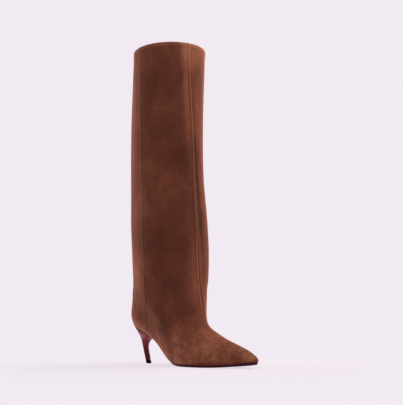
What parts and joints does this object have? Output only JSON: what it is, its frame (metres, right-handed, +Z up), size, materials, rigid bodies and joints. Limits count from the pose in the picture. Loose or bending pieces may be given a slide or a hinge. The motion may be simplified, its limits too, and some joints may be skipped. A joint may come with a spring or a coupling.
{
  "type": "knee-high boot",
  "caption": "Knee-high pull-on suede boot with a pointed toe, a wide straight shaft and a slim curved heel.",
  "frame": {"origin": "on the floor under the middle of the boot's bounding box", "axes": "+X to the toe, +Y to the inner side of the foot, +Z up the shaft"},
  "size_m": [0.255, 0.1148, 0.4885],
  "materials": {
    "suede": "brushed nap, matt",
    "sock_lining": "smooth, matt",
    "sole_leather": "polished",
    "heel_lacquer": "gloss lacquer",
    "lift_rubber": "matt"
  },
  "bodies": {
    "root": {"upper": "suede", "insole": "sock_lining", "outsole": "sole_leather", "heel": "heel_lacquer", "top_lift": "lift_rubber"}
  },
  "joints": []
}
